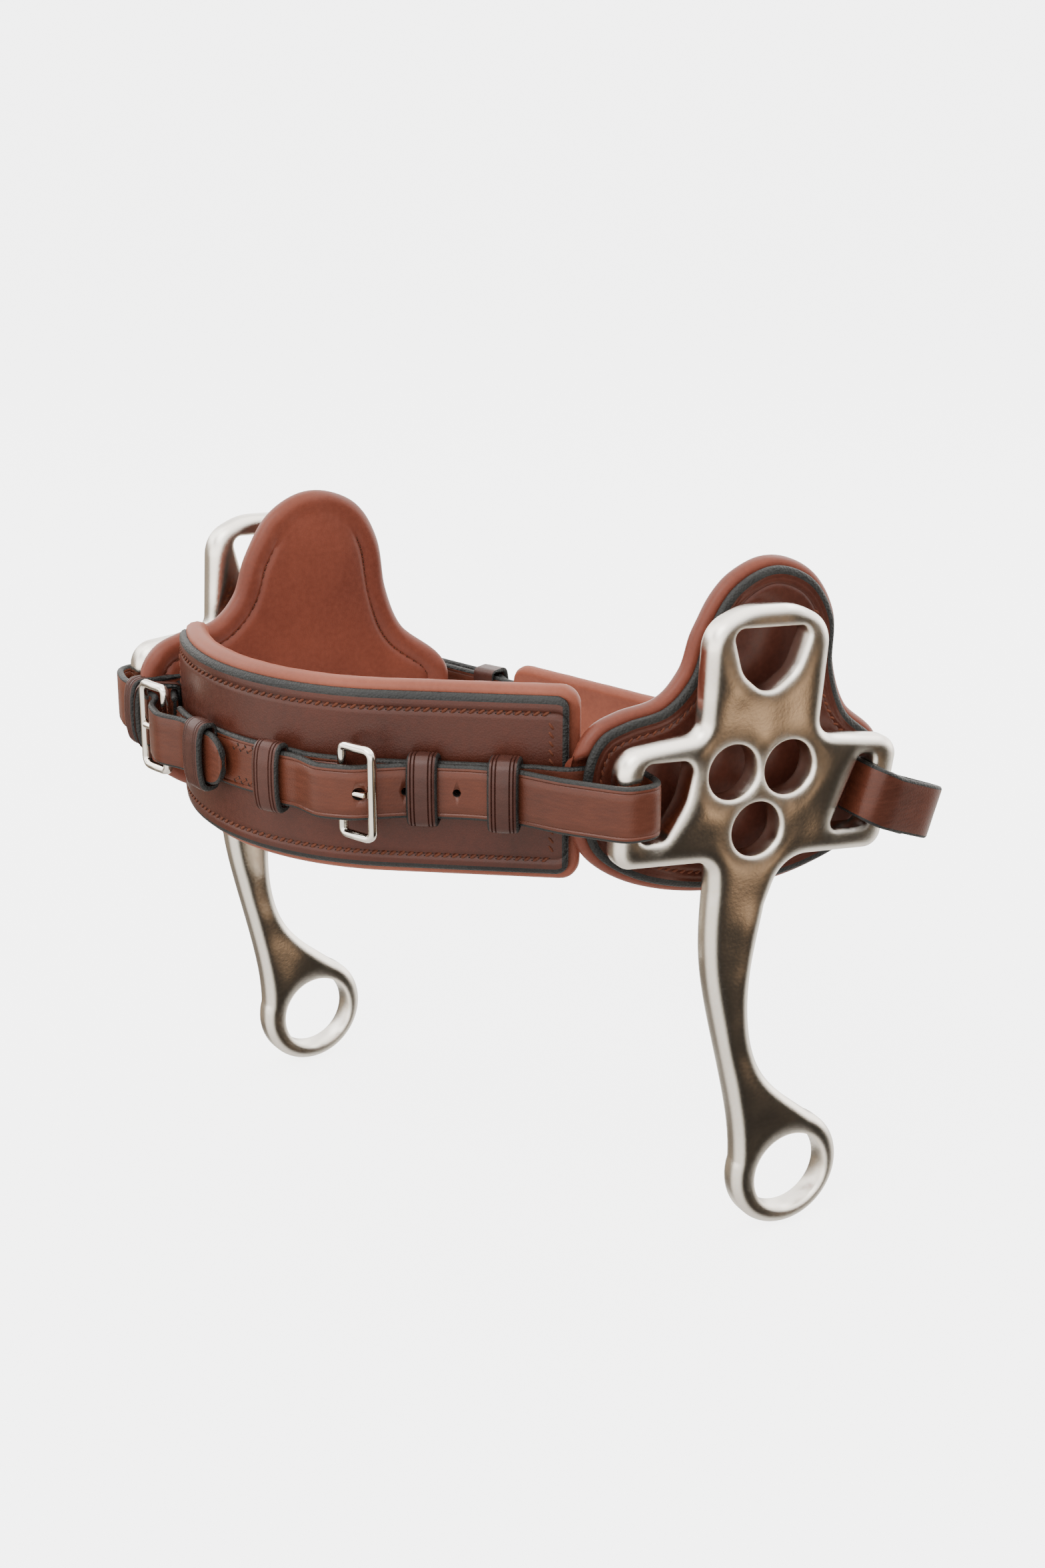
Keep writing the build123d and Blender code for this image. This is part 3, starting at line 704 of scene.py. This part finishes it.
def buckle(prefix, at, direction, normal):
    """Wire buckle: at is the middle of the hinge bar, direction runs to the front bar."""
    reach = direction * math.cos(FRAME_TILT) + normal * math.sin(FRAME_TILT)
    rise = normal * math.cos(FRAME_TILT) - direction * math.sin(FRAME_TILT)
    corners = [(0, FRAME_HALF), (FRAME_L, FRAME_HALF), (FRAME_L, -FRAME_HALF), (0, -FRAME_HALF)]
    ring = rounded_loop(corners, (1.6, 2.4, 2.4, 1.6), 0.5)
    bow = 0.35
    line = [at + reach * p.x + UP * p.y + rise * (bow * math.sin(p.x / FRAME_L * math.pi)) for p in ring]
    line.append(line[0])
    wire = sweep(prefix + "_buckle_wire", Path(line), round_profile(WIRE_R, 0.88), [METAL], up=rise,
                 step=0.8, closed=True, sharp=80)
    finish_piece(wire, prefix + "_buckle_frame", [prefix + "_buckle_frame"])
    eye = []
    for k in range(17):
        a = math.radians(-60 + 300 * k / 16)
        eye.append(at + (reach * -math.cos(a) + rise * math.sin(a)) * EYE_R)
    eye = eye[::-1]
    tail = [at + reach * 3.2 + rise * 1.7, at + reach * 6 + rise * 1.2, at + reach * 10.2 + rise * 1.0]
    pin = sweep(prefix + "_buckle_pin", Path(eye + tail).eased(2, 0.5), round_profile(PIN_R, 1.25, 10),
                [METAL], up=UP, step=0.7, sharp=80)
    finish_piece(pin, prefix + "_buckle_tongue", [prefix + "_buckle_tongue"])


for prefix, hinge, sense in (("left", LEFT_HINGE, -1), ("right", RIGHT_HINGE, 1)):
    _, along, normal = nose_frame(hinge)
    buckle(prefix, nose(hinge, HINGE_OUT), along * sense, normal)

# ---- cheeks and their guards ----
for side, prefix in SIDES.items():
    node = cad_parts[prefix + "_cheek"]
    node.data.materials.clear()
    node.data.materials.append(CAST[side])

# a guard's outline beside its cheek: x rearward and y up, from the middle of the three holes
GUARD = [(30, -34), (8, -37), (-14, -35), (-34, -28.5), (-48, -18), (-52, -4), (-51, 10),
         (-46, 18.5), (-37, 22), (-24, 24.5), (-15, 33), (-10, 46), (-1, 59), (13, 64.5)]
GUARD_REAR = {1: [(27, 59), (35, 46), (35.5, 30), (41, 15), (53, 4), (56, -8), (48, -26)],
              -1: [(28, 59.5), (36, 47), (39, 29), (45, 13.5), (57.5, 2), (59, -9), (50, -26)]}
GUARD_CENTRE = np.array([3.0, 8.0])
SHIELD_OUT, PAD_OUT = -12.25, -16.8       # where a guard's leather and its pad meet their fronts and backs
SHIELD_SEAM, PAD_SEAM = 5.4, 7.6          # from their borders to their seams
PAD_MARGIN = 2.4                          # the pad's border beyond the leather's
SEAM_TOP = 52                             # the seams stay open above this height
OUTLINE_POINTS = 200


def smooth_outline(points, margin):
    """Even points along a closed smooth line through the given ones, moved outward by a margin."""
    pts = np.array(points, float)
    n = len(pts)
    dense = []
    for i in range(n):
        p0, p1, p2, p3 = pts[i - 1], pts[i], pts[(i + 1) % n], pts[(i + 2) % n]
        for k in range(16):
            t = k / 16
            dense.append(0.5 * (2 * p1 + (p2 - p0) * t + (2 * p0 - 5 * p1 + 4 * p2 - p3) * t * t
                                + (3 * p1 - p0 - 3 * p2 + p3) * t ** 3))
    dense = np.array(dense)
    closed = np.vstack([dense, dense[:1]])
    marks = np.concatenate([[0], np.cumsum(np.linalg.norm(np.diff(closed, axis=0), axis=1))])
    where = np.linspace(0, marks[-1], OUTLINE_POINTS, endpoint=False)
    even = np.stack([np.interp(where, marks, closed[:, k]) for k in (0, 1)], axis=1)
    return inset(even, -margin)


def inset(line, depth):
    """A closed line moved inward by a depth; the line runs clockwise."""
    tangent = np.roll(line, -1, axis=0) - np.roll(line, 1, axis=0)
    tangent /= np.linalg.norm(tangent, axis=1)[:, None]
    return line + depth * np.stack([tangent[:, 1], -tangent[:, 0]], axis=1)


def border_distance(points, line):
    """Distance from each point to the closed line."""
    ends = np.roll(line, -1, axis=0)
    best = np.full(len(points), 1e9)
    for a, b in zip(line, ends):
        ab = b - a
        t = np.clip(((points - a) @ ab) / (ab @ ab), 0, 1)
        best = np.minimum(best, np.linalg.norm(points - (a + t[:, None] * ab), axis=1))
    return best


def curl(side, x, y):
    """How far a guard's rear corner curls inward; the right guard has been worn that way."""
    reach = max(0.0, x - 36) / 24
    return (8.0 if side < 0 else 1.0) * min(1.0, reach) ** 1.5 * max(0.0, min(1.0, (30 - y) / 30))


def panel(name, side, outline, depths, front, back, mats, mat_of, out_level):
    """A sheet on a guard's outline. front and back give heights outward from distance to the border."""
    rings = [inset(outline, d) for d in depths]
    core = rings[-1]
    steps = 14
    rings += [GUARD_CENTRE + (core - GUARD_CENTRE) * (1 - k / steps) for k in range(1, steps)]
    flat = np.vstack(rings + [GUARD_CENTRE[None]])
    gap = border_distance(flat, outline)
    for k in range(len(depths)):
        gap[k * len(outline):(k + 1) * len(outline)] = depths[k]
    verts, faces, face_mats = [], [], []
    count = len(outline)
    for height in (front, back):
        for (x, y), d in zip(flat, gap):
            level = out_level + height(d, x, y) - curl(side, x, y)
            verts.append(cheek(side, x, level, y + CHEEK_Z))
    total = len(flat)
    for base in (0, total):
        for r in range(len(rings) - 1):
            for k in range(count):
                j = (k + 1) % count
                faces.append((base + r * count + k, base + r * count + j, base + (r + 1) * count + j,
                              base + (r + 1) * count + k))
                face_mats.append(mat_of(gap[r * count + k]))
        last = base + (len(rings) - 1) * count
        for k in range(count):
            faces.append((last + k, last + (k + 1) % count, base + total - 1))
            face_mats.append(0)
    for k in range(count):
        j = (k + 1) % count
        faces.append((k, j, total + j, total + k))
        face_mats.append(mat_of(0))
    return new_object(name, verts, faces, mats, face_mats, sharp=60)


def edge_round(d, radius):
    """Rise of a rounded border, 1 from a radius inward."""
    return eased_rise(min(d, radius), radius)


def dip(d, at, width, depth):
    """A groove at a distance from the border."""
    return -depth * max(0.0, 1 - abs(d - at) / width)


def guard_face(d, x, y):
    """Front of a guard's leather, with its crease and the groove of its seam."""
    level = 0.05 + 1.2 * edge_round(d, 1.9)
    grooves = dip(d, 3.2, 0.5, 0.24) + dip(d, SHIELD_SEAM, 0.7, 0.42)
    return level + grooves + 0.25 * min(1, max(0, d - 6) / 10)


def guard_back(d, x, y):
    """Back of a guard's leather."""
    return -0.45 - 0.8 * edge_round(d, 0.9)


def strap_bed(x, y):
    """How far the strap presses the lining in, at the front edge."""
    along = min(1.0, max(0.0, (-27 - x) / 6))
    across = min(1.0, max(0.0, (12.5 - abs(y - 0.3)) / 3))
    return along * across


def pad_front(d, x, y):
    """Side of a guard's pad that lies on the leather."""
    puff = 0.3 + 2.5 * edge_round(d, 2.6)
    return puff + 0.3 - 4.4 * strap_bed(x, y)


def pad_back(d, x, y):
    """Side of a guard's pad that lies on the horse, with a rolled rim, folds and a sewn channel."""
    puff = 0.2 + 2.5 * edge_round(d, 3.2) + 0.5 * math.exp(-((d - 3.6) / 2.2) ** 2)
    crown = 0.9 * (1 - math.exp(-max(0.0, d - 7) / 8))
    folds = 0.17 * math.sin(0.5 * x + 0.33 * y) * math.exp(-((d - 5) / 5) ** 2)
    seam = dip(d, PAD_SEAM, 1.3, 1.0) * min(1.0, max(0.0, (54 - y) / 6))
    return -(puff + crown + seam + folds)


# distances from the border where the leather and the pad have a line of points
LEATHER_RINGS = (0, 0.12, 0.4, 0.8, 1.3, 1.9, 2.3, 2.7, 3.2, 3.7, 4.7, 5.4, 6.1, 7.0, 9.0)
PAD_RINGS = (0, 0.25, 0.6, 1.1, 1.7, 2.5, 3.4, 4.6, 5.8, 6.6, 7.6, 8.6, 10.0)
for side, prefix in SIDES.items():
    body = "cheek_" + prefix
    outline = smooth_outline(GUARD + GUARD_REAR[side], 0.0)
    shield = panel(prefix + "_guard_face", side, outline, LEATHER_RINGS, guard_face, guard_back,
                   [DARK, EDGE], lambda d: 1 if d < 2.2 else 0, SHIELD_OUT)
    finish_piece(shield, body, [prefix + "_guard_leather"])
    wide = smooth_outline(GUARD + GUARD_REAR[side], PAD_MARGIN)
    # the pad takes the darker copy of the lining leather, painted shade
    pad = panel(prefix + "_guard_padding", side, wide, PAD_RINGS, pad_front, pad_back, [SHADED_PAD],
                lambda d: 0, PAD_OUT)
    finish_piece(pad, body, [prefix + "_guard_lining"])
    for label, line, level, facing, thread in (
        ("face", inset(outline, SHIELD_SEAM), SHIELD_OUT + guard_face(SHIELD_SEAM, 0, 0) + 0.1, 1, {}),
        ("padding", inset(wide, PAD_SEAM), PAD_OUT + pad_back(PAD_SEAM, 0, 0) - 0.05, -1,
         {"radius": 0.3, "slant": 0.1, "length": 1.9, "awl": 0.35}),
    ):
        ring = Path([(x, y, 0) for x, y in line] + [(*line[0], 0)])

        def place(mark):
            """Stitch place at a mark along the seam."""
            at, ahead = ring.at(mark % ring.length), ring.at((mark + 0.5) % ring.length)
            spot, nxt = (cheek(side, p.x, level - curl(side, p.x, p.y), p.y + CHEEK_Z)
                         for p in (at, ahead))
            return spot, nxt - spot, PLATE_OUT[side] * facing

        sewn = [p for p in row(0, ring.length, place) if p[0].z < SEAM_TOP]
        stitches(f"{prefix}_guard_{label}_stitching", sewn, body, **thread)

# ---- curb ----
CURB_CREST = CREST_OUT - BASE_OUT
LEFT_CURB_POINTS = [curb(-52, 0), curb(-CURB_HALF, 0), hanging(1, 57.5, -7.5),
                    hanging(1, 42.3, -8.3), hanging(1, REAR_BAR, -5.4), hanging(1, REAR_BAR, 7.0),
                    hanging(1, 46.7, 7.2), curb(-CURB_HALF - 10.6, CURB_LAYER - 1.8),
                    curb(CURB_HINGE - 14.5, CURB_LAYER), curb(CURB_HINGE - 3, CURB_CREST),
                    curb(CURB_HINGE + 6, CURB_CREST), curb(CURB_HINGE + 14, CURB_LAYER),
                    curb(-8, CURB_LAYER)]
curb_path = Path(rounded(LEFT_CURB_POINTS, [3.4, 10, 4, 3.4, 4, 8, 11, 12, 5, 5, 5])).eased(4)


def leaning(at):
    """The strap leans where it turns the left corner, as it hangs from a sloping end."""
    return UP + Vector((0.05, 0.30, 0)) * max(0.0, min(1.0, (at.x - 50) / 28))


curb_strap = sweep("curb_left_strap", curb_path, SECTION, [STRAP, EDGE], up=leaning,
                   shape=bevelled_ends(0.5, 0.6, tip=True))
punch(curb_strap, [(curb(s, CURB_LAYER), CURB_NORMAL) for s in (-66, -82)])
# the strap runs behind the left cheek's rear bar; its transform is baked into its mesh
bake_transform(curb_strap)
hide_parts("left_rear_fold", "curb_billet", "curb_buckle_chape")

# the curb's right end stops short of its fold round the right cheek's rear bar
RIGHT_FOLD_POINTS = [hanging(-1, 59.3, -7.5), hanging(-1, 42.3, -8.3), hanging(-1, REAR_BAR, -5.4),
                     hanging(-1, REAR_BAR, 7.0), hanging(-1, 48.7, 7.0), hanging(-1, 59.3, 4.4)]
right_fold = Path(rounded(RIGHT_FOLD_POINTS, [4, 3.4, 4, 8])).eased(2)
fold = sweep("right_rear_strap", right_fold, SECTION, [STRAP, EDGE])
finish_piece(fold, "cheek_right", ["right_rear_fold"])

base_line = Path(rounded([curb(-50, 0), curb(CURB_HALF, 0), hanging(-1, 59.0, -7.5)], 3.8))
base = sweep("curb_strap_middle", base_line, SECTION, [STRAP, EDGE])
finish_piece(base, "curb", ["curb_base_strap"])
TAIL_POINTS = [hanging(-1, 59.0, 4.4), curb(CURB_HALF + 10.8, CURB_LAYER), curb(66, CURB_LAYER)]
tail = sweep("curb_strap_tail", Path(rounded(TAIL_POINTS, 4)), SECTION, [STRAP, EDGE],
             shape=bevelled_ends(0.5, 0.6, tip=True))
finish_piece(tail, "curb", ["curb_sewn_tail"])

for name, station, inner, outer, width, body in (
    ("curb_inner_keeper", -17.0, 2.4, 5.9, 8.5, "curb"),
    ("curb_loose_keeper", -72.0, -1.5, 5.9, 8.5, "curb_loose_keeper"),
    ("curb_tail_keeper", 74.0, -1.5, 5.9, 8.5, "curb"),
):
    keeper(name + "_loop", curb(station, 0), CURB_ALONG, CURB_NORMAL, inner, outer, width, body, name)
buckle("curb", curb(CURB_HINGE, HINGE_OUT - BASE_OUT), -CURB_ALONG, CURB_NORMAL)

FACE_HALF, FACE_OUT = 53, -2.55           # the curb's leather: half its length, and where it lies
CURB_PAD_HALF, CURB_PAD_OUT = 56, -7.3
h, t = 16.5, 1.25
face = mirrored([(h - 0.8, t), (h - 1.6, t), (h - 2.0, t - 0.22), (h - 2.4, t), (h - 3.9, t),
                 (h - 4.4, t - 0.28), (h - 4.9, t), (0, t + 0.1)])
profile = [(u, v, 0) for u, v in face[:-1]]
profile += [face[-1] + (1,), (-h, 0.5, 1), (-h, -0.5, 1), (-(h - 0.8), -t, 0), (h - 0.8, -t, 1),
            (h, -0.5, 1), (h, 0.5, 1)]
front = sweep("curb_face", Path([curb(s, FACE_OUT) for s in (-FACE_HALF, 0, FACE_HALF)]), profile,
              [DARK, EDGE], shape=bevelled_ends(5.0, 0.8), step=2.5)
finish_piece(front, "curb", ["curb_leather"])
h = 19.0
roll = [(h - 2.6, 0.6), (h - 1.2, 0.2), (h - 0.2, -1.0), (h, -2.8), (h - 0.6, -4.6), (h - 2.0, -5.6)]
back = [(h - 4.2, -5.8), (h - 6.0, -5.2), (h - 6.8, -5.0), (h - 7.6, -5.3), (h * 0.3, -6.3), (0, -6.5)]
profile = [(u, v + 3.3, 0) for u, v in reversed(mirrored([(h - 3.6, -0.1)] + roll + back))]
pad = sweep("curb_padding", Path([curb(s, CURB_PAD_OUT) for s in (-CURB_PAD_HALF, 0, CURB_PAD_HALF)]),
            profile, [LINING], shape=lining_ends, step=2.0, sharp=75)
finish_piece(pad, "curb", ["curb_lining"])
CURB_SEAM_HALF, CURB_SEAM_LEVEL = 48, 12.1
places = []
for level in (CURB_SEAM_LEVEL, -CURB_SEAM_LEVEL):
    for out, normal in ((-1.45, CURB_NORMAL), (-8.98, -CURB_NORMAL)):
        places += row(-CURB_SEAM_HALF, CURB_SEAM_HALF, lambda s: (curb(s, out, level), CURB_ALONG, normal))
stitches("curb_stitching", places, "curb")

# ---- floor, light and camera ----
# metres from here on
FLOOR_HALF = 60
FLOOR_DROP = 0.0005                       # below the lowest point of the part
FLOOR_GLOW = 4.0
bm = bmesh.new()
bmesh.ops.create_grid(bm, x_segments=1, y_segments=1, size=FLOOR_HALF)
mesh = bpy.data.meshes.new("floor")
bm.to_mesh(mesh)
floor = bpy.data.objects.new("floor", mesh)
floor.location.z = cad_low[2] - FLOOR_DROP
bpy.context.scene.collection.objects.link(floor)
paint = bpy.data.materials.new("floor_paint")
paint.use_nodes = True
shader = paint.node_tree.nodes["Principled BSDF"]
shader.inputs["Base Color"].default_value = (0.93, 0.93, 0.93, 1)
shader.inputs["Roughness"].default_value = 0.9
shader.inputs["Emission Color"].default_value = (1, 1, 1, 1)
shader.inputs["Emission Strength"].default_value = FLOOR_GLOW
mesh.materials.append(paint)
floor.visible_glossy = False
floor.visible_diffuse = False


LIT_POINT = Vector((0, 0.05, 0))


def lamp(name, at, size, power):
    """A soft rectangular lamp that faces the part."""
    light = bpy.data.lights.new(name, "AREA")
    light.shape = "RECTANGLE"
    light.size, light.size_y = size
    light.energy = power
    obj = bpy.data.objects.new(name, light)
    obj.location = at
    obj.rotation_euler = (LIT_POINT - Vector(at)).to_track_quat("-Z", "Y").to_euler()
    bpy.context.scene.collection.objects.link(obj)


lamp("key", (0.5, -0.9, 1.1), (1.0, 1.0), 12)
lamp("fill", (-1.0, -0.6, 0.7), (0.9, 0.9), 6)
lamp("rim", (-0.2, 1.2, 0.9), (1.2, 0.6), 8)

world = bpy.data.worlds.new("studio")
bpy.context.scene.world = world
world.use_nodes = True
nodes, links = world.node_tree.nodes, world.node_tree.links
background = nodes["Background"]
background.inputs["Strength"].default_value = 1.0
where = add(nodes, "TexCoord").outputs["Generated"]
split = add(nodes, "SeparateXYZ")
links.new(where, split.inputs["Vector"])


def colour_ramp(stops, source, low, high):
    """A colour ramp over a value's range, in the world's nodes."""
    span = add(nodes, "MapRange", From_Min=low, From_Max=high)
    links.new(source, span.inputs["Value"])
    ramp = add(nodes, "ValToRGB")
    ramp.color_ramp.interpolation = "EASE"
    elements = ramp.color_ramp.elements
    while len(elements) < len(stops):
        elements.new(0.5)
    for element, (position, colour) in zip(elements, stops):
        element.position = position
        element.color = (*colour, 1)
    links.new(span.outputs["Result"], ramp.inputs["Fac"])
    return ramp.outputs["Color"]


def towards(direction):
    """How far a ray points in a direction, as a cosine."""
    node = add(nodes, "VectorMath", "DOT_PRODUCT")
    node.inputs[1].default_value = direction
    links.new(where, node.inputs[0])
    return node.outputs["Value"]


def mix(first, second, factor=None, blend="MIX"):
    """Mixes two colours. Each is a socket or a plain value, and no factor means all of it."""
    node = add(nodes, "Mix")
    node.data_type = "RGBA"
    node.blend_type = blend
    node.inputs["Factor"].default_value = 1
    for source, socket in ((first, "A"), (second, "B"), (factor, "Factor")):
        if isinstance(source, bpy.types.NodeSocket):
            links.new(source, node.inputs[socket])
        elif source:
            node.inputs[socket].default_value = source
    return node.outputs["Result"]


# what polished metal mirrors: white walls, with a dark opening whose middle is warm,
# and a paler opening opposite, so that the far sides of the castings show their shape too
OPENING = (0.835, 0.472, -0.285)
BEHIND = (-0.86, -0.40, -0.31)
DARK_OPENING = ((0.0, (0.52, 0.36, 0.235)), (0.055, (0.33, 0.225, 0.145)), (0.10, (0.12, 0.085, 0.058)),
                (0.145, (0.038, 0.032, 0.027)), (0.34, (0.020, 0.018, 0.016)),
                (0.46, (0.032, 0.029, 0.026)), (0.60, (0.30, 0.29, 0.27)), (0.72, (0.90, 0.88, 0.85)),
                (0.9, (1.0, 0.98, 0.95)))
PALE_OPENING = ((0.0, (1.0, 1.0, 1.0)), (0.55, (0.85, 0.84, 0.82)), (0.80, (0.22, 0.21, 0.20)),
                (0.93, (0.14, 0.125, 0.11)), (1.0, (0.30, 0.25, 0.20)))
WALLS = ((0.0, (0.30, 0.29, 0.28)), (0.35, (0.45, 0.44, 0.42)), (0.50, (1.0, 0.98, 0.96)),
         (0.62, (0.9, 0.9, 0.9)), (0.75, (0.45, 0.45, 0.46)), (0.86, (1.0, 1.0, 1.0)),
         (1.0, (1.0, 1.0, 1.0)))
MIRRORED, LIGHTING, BACKDROP = 4.2, (1, 1, 1, 1), (5.2, 5.2, 5.2, 1)
away = add(nodes, "Math", "ARCCOSINE")
away.use_clamp = True
links.new(towards(OPENING), away.inputs[0])
opening = colour_ramp(DARK_OPENING, away.outputs["Value"], 0, 1)
walls = colour_ramp(WALLS, split.outputs["Z"], -1, 1)
pale = colour_ramp(PALE_OPENING, towards(BEHIND), 0.55, 1)
bright = add(nodes, "VectorMath", "SCALE", Scale=MIRRORED)
links.new(mix(mix(walls, pale, blend="MULTIPLY"), opening, blend="MULTIPLY"), bright.inputs[0])
rays = add(nodes, "LightPath")
lit = mix(LIGHTING, bright.outputs["Vector"], rays.outputs["Is Glossy Ray"])
links.new(mix(lit, BACKDROP, rays.outputs["Is Camera Ray"]), background.inputs["Color"])

camera = bpy.data.cameras.new("camera")
camera.lens = 53.57
camera.sensor_width = 36
view = bpy.data.objects.new("camera", camera)
view.location = (0.6314, -0.2908, 0.2353)
aim = Vector((-0.0376, 0.0971, -0.0331))
view.rotation_euler = (aim - view.location).to_track_quat("-Z", "Y").to_euler()
bpy.context.scene.collection.objects.link(view)
bpy.context.scene.camera = view
